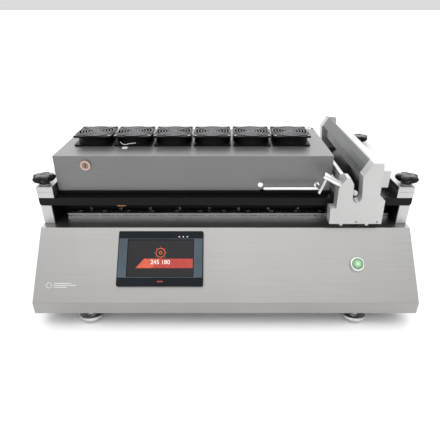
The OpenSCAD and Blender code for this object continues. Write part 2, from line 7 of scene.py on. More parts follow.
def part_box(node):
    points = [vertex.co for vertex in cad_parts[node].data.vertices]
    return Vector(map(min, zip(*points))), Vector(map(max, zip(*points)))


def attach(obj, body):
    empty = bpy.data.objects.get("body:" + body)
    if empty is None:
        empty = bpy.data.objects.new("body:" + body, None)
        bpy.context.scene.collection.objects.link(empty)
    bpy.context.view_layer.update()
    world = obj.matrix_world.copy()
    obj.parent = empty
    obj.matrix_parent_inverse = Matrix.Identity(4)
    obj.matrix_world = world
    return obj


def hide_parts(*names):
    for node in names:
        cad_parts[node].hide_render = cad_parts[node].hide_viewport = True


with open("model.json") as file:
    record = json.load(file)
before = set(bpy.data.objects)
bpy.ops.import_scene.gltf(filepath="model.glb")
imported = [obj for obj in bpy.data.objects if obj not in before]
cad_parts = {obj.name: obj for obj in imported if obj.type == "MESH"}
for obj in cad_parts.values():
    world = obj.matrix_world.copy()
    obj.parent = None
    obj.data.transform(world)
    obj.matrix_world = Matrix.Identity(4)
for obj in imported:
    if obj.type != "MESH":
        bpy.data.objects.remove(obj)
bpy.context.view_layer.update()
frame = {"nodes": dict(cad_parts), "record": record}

mm = 0.001
bodyOf = {node: body for body, nodes in frame["record"]["behaviour"]["bodies"].items() for node in nodes}
slotOf = {part["node"]: part["material_slot"] for part in frame["record"]["subparts"]}
shown = frame["nodes"]


def deselectAll():
    for obj in bpy.context.selected_objects:
        obj.select_set(False)


def activate(obj):
    deselectAll()
    obj.select_set(True)
    bpy.context.view_layer.objects.active = obj


def freeze(obj, matrix=None):
    # leaves the object at the origin with its place in its mesh
    if matrix is not None:
        obj.matrix_world = matrix @ obj.matrix_world
    activate(obj)
    bpy.ops.object.transform_apply(location=True, rotation=True, scale=True)
    return obj


def applyAll(obj):
    activate(obj)
    for modifier in list(obj.modifiers):
        bpy.ops.object.modifier_apply(modifier=modifier.name)
    return obj


def bevelEdges(obj, width, segments=3, angle=30):
    bevel = obj.modifiers.new("bevel", "BEVEL")
    bevel.width = width
    bevel.segments = segments
    bevel.limit_method = "ANGLE"
    bevel.angle_limit = math.radians(angle)
    return applyAll(obj)


def smooth(obj, angle=35):
    activate(obj)
    bpy.ops.object.shade_smooth_by_angle(angle=math.radians(angle))
    # broad flat faces keep their own normal, so no shading runs across them
    for face in obj.data.polygons:
        if face.area > 0.0004:
            face.use_smooth = False
    return obj


def joined(pieces, name):
    activate(pieces[0])
    for piece in pieces[1:]:
        piece.select_set(True)
    if len(pieces) > 1:
        bpy.ops.object.join()
    pieces[0].name = name
    pieces[0].data.name = name
    return pieces[0]


def finish(obj, body, slot, material, *nodes):
    # gives a piece its material and its body, and hides the CAD nodes that it stands for
    obj.data.materials.clear()
    obj.data.materials.append(material)
    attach(obj, body)
    if nodes:
        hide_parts(*nodes)
    return obj


def paint(node, material):
    mesh = shown[node].data
    mesh.materials.clear()
    mesh.materials.append(material)


def selectFaces(obj, test):
    # edit mode, with only the faces that pass the test selected
    activate(obj)
    bpy.ops.object.mode_set(mode="EDIT")
    bpy.ops.mesh.select_mode(type="FACE")
    bpy.ops.mesh.select_all(action="DESELECT")
    bpy.ops.object.mode_set(mode="OBJECT")
    for face in obj.data.polygons:
        face.select = test(face)
    bpy.ops.object.mode_set(mode="EDIT")


def editDone(recalc=False):
    if recalc:
        bpy.ops.mesh.select_all(action="SELECT")
        bpy.ops.mesh.remove_doubles(threshold=0.000005)
        bpy.ops.mesh.normals_make_consistent(inside=False)
    bpy.ops.object.mode_set(mode="OBJECT")


def block(name, low, high, width):
    # a box between two corners with eased edges
    low, high = Vector(low), Vector(high)
    bpy.ops.mesh.primitive_cube_add(size=1, location=(low + high) / 2, scale=high - low)
    obj = freeze(bpy.context.object)
    obj.name = name
    return bevelEdges(obj, width, 1)


def turned(name, steps, sides=48, place=None):
    # a lathe-turned piece: steps are (height, radius) from the bottom up, about Z
    bottom, radius = steps[0]
    deselectAll()
    bpy.ops.mesh.primitive_circle_add(vertices=sides, radius=radius, fill_type="NGON",
        location=(0, 0, bottom))
    obj = freeze(bpy.context.object)
    obj.name = name
    bpy.ops.object.mode_set(mode="EDIT")
    bpy.ops.mesh.select_mode(type="FACE")
    bpy.ops.mesh.select_all(action="SELECT")
    height = bottom
    for nextHeight, nextRadius in steps[1:]:
        bpy.ops.mesh.extrude_region_move(TRANSFORM_OT_translate={"value": (0, 0, nextHeight - height)})
        if abs(nextRadius - radius) > 1e-9:
            grow = nextRadius / radius
            bpy.ops.transform.resize(value=(grow, grow, 1), center_override=(0, 0, nextHeight))
        height, radius = nextHeight, nextRadius
    editDone(recalc=True)
    if place is not None:
        freeze(obj, place)
    return obj


def copied(obj, name, matrix):
    twin = obj.copy()
    twin.data = obj.data.copy()
    twin.name = name
    bpy.context.scene.collection.objects.link(twin)
    return freeze(twin, matrix)


def refined(node, width, material, segments=3):
    # a merged copy of a CAD node with eased edges, standing in for it
    source = shown[node]
    obj = source.copy()
    obj.data = source.data.copy()
    obj.parent = None
    obj.matrix_world = Matrix.Identity(4)
    for key in list(obj.keys()):
        del obj[key]
    obj.name = node + "_finished"
    bpy.context.scene.collection.objects.link(obj)
    activate(obj)
    bpy.ops.object.mode_set(mode="EDIT")
    bpy.ops.mesh.select_all(action="SELECT")
    bpy.ops.mesh.remove_doubles(threshold=0.000002)
    bpy.ops.mesh.dissolve_limited(angle_limit=math.radians(0.6))
    editDone()
    if obj.data.has_custom_normals:
        bpy.ops.mesh.customdata_custom_splitnormals_clear()
    bevelEdges(obj, width, segments)
    smooth(obj)
    return finish(obj, bodyOf[node], slotOf[node], material, node)


def alongY(x, y, z):
    # local Z points to -Y, towards the operator
    return Matrix.Translation((x, y, z)) @ Matrix.Rotation(math.radians(90), 4, "X")


def plainMaterial(name, colour, roughness, metallic=0.0, coat=0.0, sheen=0.5):
    material = bpy.data.materials.new(name)
    material.use_nodes = True
    nodes = material.node_tree.nodes
    shader = nodes["Principled BSDF"]
    shader.inputs["Base Color"].default_value = (*colour, 1)
    shader.inputs["Roughness"].default_value = roughness
    shader.inputs["Metallic"].default_value = metallic
    shader.inputs["Coat Weight"].default_value = coat
    shader.inputs["IOR"].default_value = 1.5
    shader.inputs["Specular IOR Level"].default_value = sheen
    return material, nodes, material.node_tree.links, shader


def grainNoise(nodes, links, stretch, detail=4.0, roughness=0.6):
    # noise on object coordinates, stretched by a Mapping node
    coords = nodes.new("ShaderNodeTexCoord")
    mapping = nodes.new("ShaderNodeMapping")
    mapping.inputs["Scale"].default_value = stretch
    noise = nodes.new("ShaderNodeTexNoise")
    noise.inputs["Scale"].default_value = 1.0
    noise.inputs["Detail"].default_value = detail
    noise.inputs["Roughness"].default_value = roughness
    links.new(coords.outputs["Object"], mapping.inputs["Vector"])
    links.new(mapping.outputs["Vector"], noise.inputs["Vector"])
    return noise.outputs["Fac"]


def ramp(nodes, links, source, stops):
    node = nodes.new("ShaderNodeValToRGB")
    node.color_ramp.elements[0].position = stops[0][0]
    node.color_ramp.elements[0].color = (*stops[0][1], 1)
    node.color_ramp.elements[1].position = stops[-1][0]
    node.color_ramp.elements[1].color = (*stops[-1][1], 1)
    for position, colour in stops[1:-1]:
        node.color_ramp.elements.new(position).color = (*colour, 1)
    links.new(source, node.inputs["Fac"])
    return node.outputs["Color"]


def spread(nodes, links, source, low, high, near=0.3, far=0.7):
    node = nodes.new("ShaderNodeMapRange")
    node.inputs["From Min"].default_value = near
    node.inputs["From Max"].default_value = far
    node.inputs["To Min"].default_value = low
    node.inputs["To Max"].default_value = high
    links.new(source, node.inputs["Value"])
    return node.outputs["Result"]


def bump(nodes, links, shader, height, strength, distance):
    node = nodes.new("ShaderNodeBump")
    node.inputs["Strength"].default_value = strength
    node.inputs["Distance"].default_value = distance
    links.new(height, node.inputs["Height"])
    links.new(node.outputs["Normal"], shader.inputs["Normal"])


def shade(colour, factor):
    return tuple(min(1.0, channel * factor) for channel in colour)


def brushedSteel(name, colour, roughness, grain, metallic=1.0):
    # fine lines along one axis, faint broad clouding and a little wear in the gloss
    material, nodes, links, shader = plainMaterial(name, colour, roughness, metallic=metallic)
    lines = grainNoise(nodes, links, grain, 3.0, 0.7)
    clouds = grainNoise(nodes, links, (5, 5, 5), 3.0, 0.5)
    mixed = nodes.new("ShaderNodeMix")
    mixed.data_type = "FLOAT"
    mixed.inputs[0].default_value = 0.3
    links.new(lines, mixed.inputs[2])
    links.new(clouds, mixed.inputs[3])
    tones = ramp(nodes, links, mixed.outputs[0], [(0.3, shade(colour, 0.88)), (0.7, shade(colour, 1.1))])
    links.new(tones, shader.inputs["Base Color"])
    links.new(spread(nodes, links, lines, roughness - 0.07, roughness + 0.08), shader.inputs["Roughness"])
    bump(nodes, links, shader, lines, 0.12, 0.06 * mm)
    return material


def polishedSteel(name, colour, roughness=0.12):
    # bright turned or plated metal with faint smears
    material, nodes, links, shader = plainMaterial(name, colour, roughness, metallic=1.0)
    smears = grainNoise(nodes, links, (60, 60, 60), 5.0, 0.6)
    tones = ramp(nodes, links, smears, [(0.3, shade(colour, 0.9)), (0.7, shade(colour, 1.05))])
    links.new(tones, shader.inputs["Base Color"])
    links.new(spread(nodes, links, smears, roughness * 0.6, roughness * 1.7), shader.inputs["Roughness"])
    return material


def anodised(name, colour, roughness, metallic=0.55, sheen=0.5):
    # fine bead-blasted aluminium
    material, nodes, links, shader = plainMaterial(name, colour, roughness, metallic=metallic, sheen=sheen)
    dots = grainNoise(nodes, links, (1400, 1400, 1400), 2.0, 0.5)
    clouds = grainNoise(nodes, links, (9, 9, 9), 2.0, 0.5)
    tones = ramp(nodes, links, clouds, [(0.3, shade(colour, 0.94)), (0.7, shade(colour, 1.04))])
    links.new(tones, shader.inputs["Base Color"])
    links.new(spread(nodes, links, dots, roughness - 0.05, roughness + 0.08), shader.inputs["Roughness"])
    bump(nodes, links, shader, dots, 0.12, 0.04 * mm)
    return material


def moulded(name, colour, roughness, texture=900.0, depth=0.15, coat=0.0, sheen=0.5):
    # moulded plastic or rubber with a fine skin and a slight change of tone
    material, nodes, links, shader = plainMaterial(name, colour, roughness, coat=coat, sheen=sheen)
    skin = grainNoise(nodes, links, (texture, texture, texture), 3.0, 0.6)
    clouds = grainNoise(nodes, links, (14, 14, 14), 3.0, 0.6)
    tones = ramp(nodes, links, clouds, [(0.3, shade(colour, 0.82)), (0.7, shade(colour, 1.2))])
    links.new(tones, shader.inputs["Base Color"])
    links.new(spread(nodes, links, skin, roughness - 0.06, roughness + 0.1), shader.inputs["Roughness"])
    bump(nodes, links, shader, skin, depth, 0.05 * mm)
    return material


def darkGlass(name, colour, roughness=0.05):
    material, nodes, links, shader = plainMaterial(name, colour, roughness, coat=0.08, sheen=0.25)
    haze = grainNoise(nodes, links, (30, 30, 30), 4.0, 0.6)
    tones = ramp(nodes, links, haze, [(0.35, shade(colour, 0.7)), (0.7, shade(colour, 1.4))])
    links.new(tones, shader.inputs["Base Color"])
    links.new(spread(nodes, links, haze, roughness * 0.6, roughness * 2.2), shader.inputs["Roughness"])
    return material


def glowing(name, colour, strength):
    # a lit mark on a display, with the fine unevenness of its backlight
    material, nodes, links, shader = plainMaterial(name, colour, 0.3)
    glow = grainNoise(nodes, links, (120, 120, 120), 2.0, 0.5)
    tones = ramp(nodes, links, glow, [(0.3, shade(colour, 0.75)), (0.7, colour)])
    links.new(tones, shader.inputs["Base Color"])
    links.new(tones, shader.inputs["Emission Color"])
    shader.inputs["Emission Strength"].default_value = strength
    return material


consoleSteel = brushedSteel("consoleSteel", (0.345, 0.339, 0.329), 0.36, grain=(5, 800, 800))
hoodSteel = brushedSteel("hoodSteel", (0.19, 0.19, 0.188), 0.42, grain=(4, 900, 900), metallic=0.7)
sheetSteel = brushedSteel("sheetSteel", (0.42, 0.42, 0.43), 0.42, grain=(40, 40, 700))
rodSteel = brushedSteel("rodSteel", (0.34, 0.31, 0.29), 0.45, grain=(700, 30, 30))
crossSteel = brushedSteel("crossSteel", (0.22, 0.24, 0.23), 0.32, grain=(900, 5, 900))
footChrome = polishedSteel("footChrome", (0.62, 0.62, 0.62), 0.14)
handleChrome = polishedSteel("handleChrome", (0.80, 0.80, 0.80), 0.09)
buttonChrome = polishedSteel("buttonChrome", (0.74, 0.74, 0.75), 0.1)
lockCopper = polishedSteel("lockCopper", (0.46, 0.34, 0.29), 0.16)
lockCore = polishedSteel("lockCore", (0.24, 0.18, 0.15), 0.22)
railGround = polishedSteel("railGround", (0.60, 0.61, 0.62), 0.2)
zincBright = polishedSteel("zincBright", (0.52, 0.52, 0.51), 0.26)
screwDark = polishedSteel("screwDark", (0.07, 0.07, 0.072), 0.24)
wireBright = polishedSteel("wireBright", (0.26, 0.26, 0.27), 0.22)
nutCopper = polishedSteel("nutCopper", (0.66, 0.56, 0.46), 0.2)
whiteAluminium = anodised("whiteAluminium", (0.545, 0.545, 0.54), 0.46)
# a dark copy of the white aluminium, painted shade for the end bars' inner side faces
paintedShadeAluminium = anodised("paintedShadeAluminium", (0.07, 0.07, 0.075), 0.4, sheen=0.3)
tableBlack = anodised("tableBlack", (0.006, 0.006, 0.007), 0.26, metallic=0.0, sheen=0.12)
stripBlack = anodised("stripBlack", (0.005, 0.005, 0.006), 0.4, metallic=0.0, sheen=0.12)
knobBlack = moulded("knobBlack", (0.002, 0.002, 0.002), 0.14, texture=500, depth=0.02, coat=0.0, sheen=0.22)
fanBlack = moulded("fanBlack", (0.004, 0.004, 0.005), 0.38, sheen=0.12)
rotorBlack = moulded("rotorBlack", (0.010, 0.010, 0.012), 0.38, sheen=0.25)
socketBlack = moulded("socketBlack", (0.012, 0.012, 0.013), 0.48, sheen=0.3)
bezelBlack = moulded("bezelBlack", (0.005, 0.008, 0.011), 0.34, texture=1200, depth=0.08, sheen=0.12)
bezelGrey = moulded("bezelGrey", (0.055, 0.075, 0.095), 0.4, texture=1200, depth=0.08, sheen=0.3)
sealRubber = moulded("sealRubber", (0.006, 0.006, 0.006), 0.68, texture=700, depth=0.3, sheen=0.15)
rockerRed = moulded("rockerRed", (0.38, 0.018, 0.014), 0.3, coat=0.2)
boardGreen = moulded("boardGreen", (0.02, 0.14, 0.05), 0.4)
relayWhite = moulded("relayWhite", (0.55, 0.55, 0.53), 0.5)
fibreBoard = moulded("fibreBoard", (0.34, 0.34, 0.33), 0.8, texture=400, depth=0.4)
terminalIvory = moulded("terminalIvory", (0.58, 0.52, 0.38), 0.5)
contactBlue = moulded("contactBlue", (0.05, 0.10, 0.32), 0.45)
labelWhite = moulded("labelWhite", (0.78, 0.78, 0.77), 0.5)
cableBlack = moulded("cableBlack", (0.015, 0.015, 0.016), 0.45)
markWhite = moulded("markWhite", (0.70, 0.71, 0.72), 0.5)
tipCopper = polishedSteel("tipCopper", (0.55, 0.24, 0.09), 0.22)
plateGlass = darkGlass("plateGlass", (0.010, 0.012, 0.018), 0.07)
screenGlass = darkGlass("screenGlass", (0.004, 0.0045, 0.006), 0.09)
iconRed = glowing("iconRed", (0.62, 0.07, 0.025), 0.40)
bannerRed = glowing("bannerRed", (0.38, 0.025, 0.015), 0.30)
bannerOrange = glowing("bannerOrange", (0.52, 0.07, 0.025), 0.32)
digitPale = glowing("digitPale", (0.80, 0.74, 0.70), 0.45)
print("materials made")


console = {"rise": 130.5 * mm, "run": 120 * mm, "edge": 1.3 * mm}
consoleLow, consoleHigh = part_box("console_shell")
slopeAngle = math.atan2(console["rise"], console["run"])


def onSlope(x, down, out=0.0):
    # X across, Y up the slope, Z out of it, from a point that far down from the fold
    fold = Matrix.Translation((x, consoleLow.y + console["run"], consoleHigh.z))
    return fold @ Matrix.Rotation(slopeAngle, 4, "X") @ Matrix.Translation((0, -down, out))


refined("console_shell", console["edge"], consoleSteel, segments=3)
refined("rear_panel", 0.3 * mm, consoleSteel, segments=1)
refined("bottom_plate", 0.3 * mm, sheetSteel, segments=1)

feet = {"radius": 30 * mm, "neck": 11 * mm, "nutRadius": 13.5 * mm}


def levellingFeet():
    low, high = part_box("levelling_feet")
    r = feet["radius"]
    made = []
    for x in (low.x + r, high.x - r):
        for y in (low.y + r, high.y - r):
            place = Matrix.Translation((x, y, 0))
            dish = turned("dish", [(0, r * 0.53), (0.0009, r * 0.64), (0.0024, r * 0.76),
                (0.006, r * 0.9), (0.0092, r * 0.97), (0.0112, r), (0.0146, r), (0.0162, r * 0.975),
                (0.017, r * 0.93), (0.0181, r * 0.6), (0.019, r * 0.42), (0.0225, r * 0.385),
                (0.027, feet["neck"])], sides=72, place=place)
            nut = turned("nut", [(0.0268, feet["nutRadius"] * 0.93), (0.028, feet["nutRadius"]),
                (0.0342, feet["nutRadius"]), (0.0357, feet["nutRadius"] * 0.93)], sides=6, place=place)
            stud = turned("stud", [(35 * mm, 5 * mm), (48 * mm, 5 * mm)], sides=24, place=place)
            made += [smooth(dish, 40), bevelEdges(nut, 0.3 * mm, 1), smooth(stud)]
    piece = joined(made, "levellingFeet")
    finish(piece, "console", "foot_chrome", footChrome, "levelling_feet")


levellingFeet()


panel = {"width": 200 * mm, "down": 75 * mm, "proud": 8 * mm,
    "screenWidth": 154 * mm, "glassTop": 7 * mm, "iconX": 0, "iconY": 13 * mm,
    "iconSide": 21 * mm, "iconLine": 1.7 * mm, "bannerLeft": -47.5 * mm, "bannerRight": 76 * mm,
    "bannerTall": 22 * mm, "bannerY": -12 * mm, "bannerLean": 0.86}
panelX = (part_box("operator_bezel")[0].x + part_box("operator_bezel")[1].x) / 2
refined("operator_bezel", 1.1 * mm, bezelBlack, segments=3)
refined("operator_screen", 0.4 * mm, screenGlass, segments=2)
paint("operator_housing", bezelBlack)


def panelMark(name, x, y, width, height, material, depth=0.3 * mm, sits=None, lean=0.0, corner=0.0,
        upright=False):
    # a thin raised mark on the panel, leaning by a share of its height, measured from the panel's middle
    sits = panel["proud"] if sits is None else sits
    bpy.ops.mesh.primitive_cube_add(size=1, location=(x, y, sits + depth / 2), scale=(width, height, depth))
    mark = freeze(bpy.context.object)
    mark.name = name
    if lean:
        for vertex in mark.data.vertices:
            if not (upright and vertex.co.x > x):
                vertex.co.x += (vertex.co.y - y) * lean
    if corner:
        selectFaces(mark, lambda face: False)
        bpy.ops.mesh.select_mode(type="EDGE")
        bpy.ops.object.mode_set(mode="OBJECT")
        for edge in mark.data.edges:
            a, b = (mark.data.vertices[i].co for i in edge.vertices)
            edge.select = abs(a.z - b.z) > depth / 2
        bpy.ops.object.mode_set(mode="EDIT")
        bpy.ops.mesh.bevel(offset=corner, segments=4, affect="EDGES")
        editDone()
    bevelEdges(mark, depth * 0.25, 1, 60)
    freeze(mark, onSlope(panelX, panel["down"]))
    return finish(mark, "console", "bezel_plastic" if sits == panel["proud"] else "screen_glass", material)


def panelRing(name, x, y, radius, thick, material, sits):
    # a flattened ring standing just proud of the glass
    deselectAll()
    bpy.ops.mesh.primitive_torus_add(major_radius=radius, minor_radius=thick, major_segments=48,
        minor_segments=8)
    ring = freeze(bpy.context.object, Matrix.Diagonal((1, 1, 0.15 * mm / thick, 1)))
    ring.name = name
    smooth(ring, 60)
    freeze(ring, onSlope(panelX, panel["down"]) @ Matrix.Translation((x, y, sits + 0.1 * mm)))
    return finish(ring, "console", "screen_glass", material)


def lettering(text, size, depth, place):
    # raised figures centred on a place
    deselectAll()
    bpy.ops.object.text_add(location=(0, 0, 0))
    label = bpy.context.object
    label.data.body = text
    label.data.size = size
    label.data.align_x = "CENTER"
    label.data.align_y = "CENTER"
    label.data.extrude = depth
    activate(label)
    bpy.ops.object.convert(target="MESH")
    return freeze(label, place)


def panelNumber(name, text, x, y, size, material, sits):
    place = onSlope(panelX, panel["down"]) @ Matrix.Translation((x, y, sits))
    label = lettering(text, size, 0.12 * mm, place)
    label.name = name
    return finish(label, "console", "screen_glass", material)


def operatorPanel():
    sideWidth = (panel["width"] - panel["screenWidth"]) / 2 - 3 * mm
    sideX = panel["width"] / 2 - sideWidth / 2 - 2 * mm
    for side, x in (("Left", -sideX), ("Right", sideX)):
        panelMark("bezelSide" + side, x, 1 * mm, sideWidth, 92 * mm, bezelGrey)
    for side, y in (("Top", 45.8 * mm), ("Bottom", -44.3 * mm)):
        panelMark("bezelSide" + side, 0, y, panel["screenWidth"] + 2 * mm, 1.4 * mm, bezelGrey)
    for i in range(3):
        panelMark("statusMark%d" % (i + 1), 43 * mm + i * 9.5 * mm, 51 * mm, 3.0 * mm, 2.2 * mm, digitPale,
            corner=0.6 * mm)
    # the red badge is printed on the bezel, yet it takes the glowing banner red: a painted glow
    panelMark("badge", 1 * mm, -54 * mm, 13 * mm, 2.6 * mm, bannerRed, lean=0.3)
    glass = panel["glassTop"]
    iconX, iconY, side, line = panel["iconX"], panel["iconY"], panel["iconSide"], panel["iconLine"]
    panelRing("iconRing", iconX, iconY, side / 2, line / 2, iconRed, glass)
    panelRing("iconCore", iconX, iconY, side * 0.16, line / 2, iconRed, glass)
    rays = side * 0.66
    for i in range(8):
        turn = math.radians(45 * i)
        panelMark("iconRay%d" % (i + 1), iconX + rays * math.cos(turn), iconY + rays * math.sin(turn),
            line * 0.9, line * 0.9, iconRed, 0.2 * mm, glass)
    left, right, tall, low = panel["bannerLeft"], panel["bannerRight"], panel["bannerTall"], panel["bannerY"]
    split = left + (right - left) * 0.3
    lean = panel["bannerLean"]
    panelMark("bannerHead", (left + split) / 2, low, split - left, tall, bannerOrange, 0.2 * mm, glass, lean)
    panelMark("banner", (split + right) / 2, low, right - split, tall, bannerRed, 0.2 * mm, glass, lean,
        upright=True)
    panelNumber("screenNumber", "245 180", 0, low + 2.5 * mm, 14 * mm, digitPale, glass + 0.3 * mm)


operatorPanel()


plainMark = {"x": -408 * mm, "down": 137 * mm, "ring": 6 * mm, "line": 1.1 * mm,
    "bars": (40 * mm, 52 * mm, 30 * mm), "barPitch": 4.5 * mm}


def consoleMark():
    # a plain white ring and three bars printed low on the left of the slope
    made = []
    place = onSlope(plainMark["x"], plainMark["down"])
    deselectAll()
    bpy.ops.mesh.primitive_torus_add(major_radius=plainMark["ring"], minor_radius=plainMark["line"] / 2,
        major_segments=48, minor_segments=8)
    ring = freeze(bpy.context.object, Matrix.Diagonal((1, 1, 0.2, 1)))
    made.append(freeze(smooth(ring, 60), place))
    for i, wide in enumerate(plainMark["bars"]):
        y = (1 - i) * plainMark["barPitch"]
        bar = block("bar", (11 * mm, y - 0.7 * mm, 0), (11 * mm + wide, y + 0.7 * mm, 0.15 * mm),
            0.03 * mm)
        made.append(freeze(bar, place))
    piece = joined(made, "consoleMark")
    finish(piece, "console", "relay_white", markWhite)


consoleMark()

button = {"down": 88 * mm, "lens": 13 * mm}
buttonX = (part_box("button_ring")[0].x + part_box("button_ring")[1].x) / 2
refined("button_ring", 0.5 * mm, buttonChrome, segments=3)
paint("button_contacts", contactBlue)


def lensMaterial():
    # green moulded lens with a painted highlight: lighter and glowing in its middle, with painted shade
    # darker towards its rim
    material, nodes, links, shader = plainMaterial("lensGreen", (0.05, 0.36, 0.10), 0.12, coat=0.5)
    coords = nodes.new("ShaderNodeTexCoord")
    centre = onSlope(buttonX, button["down"], 7 * mm).translation
    shift = nodes.new("ShaderNodeVectorMath")
    shift.operation = "DISTANCE"
    shift.inputs[1].default_value = centre
    links.new(coords.outputs["Object"], shift.inputs[0])
    # painted highlight: the tone and the glow fall off from the lens's middle to its rim
    paintedHighlight = spread(nodes, links, shift.outputs["Value"], 1.0, 0.0, 1 * mm, button["lens"])
    prism = grainNoise(nodes, links, (500, 500, 500), 2.0, 0.5)
    tones = ramp(nodes, links, paintedHighlight, [(0.0, (0.07, 0.17, 0.07)), (0.5, (0.20, 0.38, 0.20)),
        (1.0, (0.45, 0.66, 0.43))])
    links.new(tones, shader.inputs["Base Color"])
    links.new(tones, shader.inputs["Emission Color"])
    shader.inputs["Emission Strength"].default_value = 0.2
    bump(nodes, links, shader, prism, 0.2, 0.1 * mm)
    return material


def buttonLens():
    r = button["lens"]
    steps = [(-0.014, 0.008), (0.0042, 0.008), (0.0042, r * 0.97), (0.0044, r), (0.0058, r),
        (0.0064, r * 0.96), (0.0069, r * 0.86), (0.0071, r * 0.7), (0.0073, r * 0.62), (0.0075, r * 0.4),
        (0.0076, r * 0.15)]
    lens = turned("buttonLens", steps, 64, onSlope(buttonX, button["down"]))
    smooth(lens, 30)
    finish(lens, "button", "lens_green", lensMaterial(), "button_lens")


buttonLens()
print("console, panel and button made")


refined("power_inlet", 0.5 * mm, socketBlack, segments=2)
refined("rocker_frame", 0.5 * mm, socketBlack, segments=2)
refined("rocker_switch", 0.5 * mm, rockerRed, segments=2)
for node, material in (("power_supply", sheetSteel), ("controller_board", boardGreen),
        ("solid_state_relays", relayWhite), ("terminal_strip", terminalIvory)):
    paint(node, material)


def panHead(name, place, radius=3.4 * mm, height=1.8 * mm, material=zincBright):
    # a socket-head screw with a round recess
    head = turned(name, [(0, radius * 0.97), (height * 0.12, radius), (height * 0.62, radius),
        (height * 0.88, radius * 0.9), (height, radius * 0.72)], 36)
    selectFaces(head, lambda face: face.normal.z > 0.99 and face.center.z > height * 0.99)
    bpy.ops.mesh.inset(thickness=radius * 0.3)
    bpy.ops.mesh.extrude_region_move(TRANSFORM_OT_translate={"value": (0, 0, -height * 0.55)})
    editDone()
    smooth(head, 35)
    freeze(head, place)
    return finish(head, "console", "zinc_screw", material)


def towardsBack(x, y, z):
    return Matrix.Translation((x, y, z)) @ Matrix.Rotation(math.radians(-90), 4, "X")


def rearScrews():
    # two rows along the rear panel's edges, the middle one clear of the vents
    low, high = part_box("rear_panel")
    inset = 12 * mm
    for i, x in enumerate((low.x + inset, low.x / 2, 20 * mm, high.x / 2, high.x - inset)):
        for j, z in enumerate((low.z + inset, high.z - inset)):
            panHead("rearScrew%d%d" % (i + 1, j + 1), towardsBack(x, high.y - 0.0002, z))


rearScrews()


refined("table_plate", 1.2 * mm, tableBlack, segments=3)
refined("heater_plate", 0.8 * mm, plateGlass, segments=2)
refined("insulation_tray", 0.4 * mm, fibreBoard, segments=1)
paint("heater_rods", rodSteel)
refined("side_rail_left", 0.8 * mm, whiteAluminium)
refined("side_rail_right", 0.8 * mm, whiteAluminium)
for side, towards in (("left", 1), ("right", -1)):
    bar = refined("end_bar_" + side, 0.8 * mm, whiteAluminium)
    # painted shade: the bars' inner side faces take a dark copy of the white aluminium for the shadow that
    # falls on them
    bar.data.materials.append(paintedShadeAluminium)
    for face in bar.data.polygons:
        face.material_index = 1 if face.normal.x * towards > 0.9 else 0
# painted shade: the side liners are dark sheets set inside the side rails where there is only shadow
refined("side_liners", 0.2 * mm, stripBlack, segments=1)
refined("scale_strip", 0.3 * mm, stripBlack, segments=1)
refined("sensor_tip", 0.4 * mm, tipCopper, segments=2)
refined("front_rail", 0.4 * mm, railGround, segments=2)
refined("rear_rail", 0.4 * mm, railGround, segments=2)
refined("knob_studs", 0.4 * mm, zincBright, segments=2)

scale = {"first": 10, "step": 5, "count": 11, "pitch": 75 * mm, "middle": 34.5 * mm, "size": 4.6 * mm,
    "height": 14.5 * mm, "stretch": 1.6}


def scaleMarks():
    # two-figure numbers along the dark strip behind the rail
    low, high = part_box("scale_strip")
    made = []
    for i in range(scale["count"]):
        x = (i - scale["count"] // 2) * scale["pitch"] + scale["middle"]
        if abs(x) > high.x - 0.02:
            continue
        wide = Matrix.Diagonal((scale["stretch"], 1, 1, 1))
        place = alongY(x, low.y - 0.12 * mm, low.z + scale["height"]) @ wide
        made.append(lettering(str(scale["first"] + i * scale["step"]), scale["size"], 0.1 * mm, place))
    piece = joined(made, "scaleMarks")
    finish(piece, "console", "strip_black", markWhite)


scaleMarks()


railScrew = {"inset": 30 * mm, "pitch": 60 * mm, "sunk": 5 * mm, "radius": 4.2 * mm, "height": 3.6 * mm}


def railScrews():
    # cap screws sunk in the rails' counterbores
    for rail in ("front_rail", "rear_rail"):
        low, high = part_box(rail)
        name = rail.replace("_r", "R") + "Screw%d"
        y = (low.y + high.y) / 2
        count = int((high.x - low.x - railScrew["inset"]) / railScrew["pitch"]) + 1
        for i in range(count):
            x = low.x + railScrew["inset"] + i * railScrew["pitch"]
            if x > high.x - 20 * mm:
                break
            panHead(name % (i + 1), Matrix.Translation((x, y, high.z - railScrew["sunk"])),
                railScrew["radius"], railScrew["height"], material=screwDark)


railScrews()

knob = {"lobes": 5, "reach": 27.5 * mm, "valley": 20.5 * mm, "height": 17 * mm, "hub": 13 * mm,
    "outer": 0.966, "behind": 0.465}


